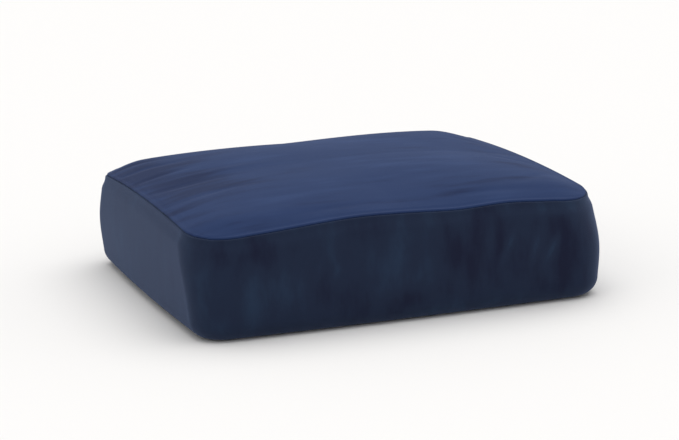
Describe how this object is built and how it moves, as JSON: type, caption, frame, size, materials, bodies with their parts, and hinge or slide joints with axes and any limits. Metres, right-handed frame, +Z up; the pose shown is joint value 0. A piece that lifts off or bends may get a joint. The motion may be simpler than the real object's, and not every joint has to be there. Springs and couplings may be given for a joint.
{
  "type": "seat cushion cover",
  "caption": "Fitted stretch velvet cover for a box seat cushion: crowned top panel sewn to a side band that turns under to an elastic hem, hollow and open below.",
  "frame": {"origin": "underside of the top panel, in its middle, where the seat cushion inside holds the cover up", "axes": "+Z up, -Y towards the front of the seat, +X to the right along the front seam"},
  "size_m": [0.61, 0.5897, 0.1798],
  "materials": {
    "velvet_top": "navy stretch velvet, short pile with a pale sheen",
    "velvet_band": "navy stretch velvet, short pile brushed downwards"
  },
  "bodies": {
    "root": {"top_panel": "velvet_top", "side_band": "velvet_band"}
  },
  "joints": []
}
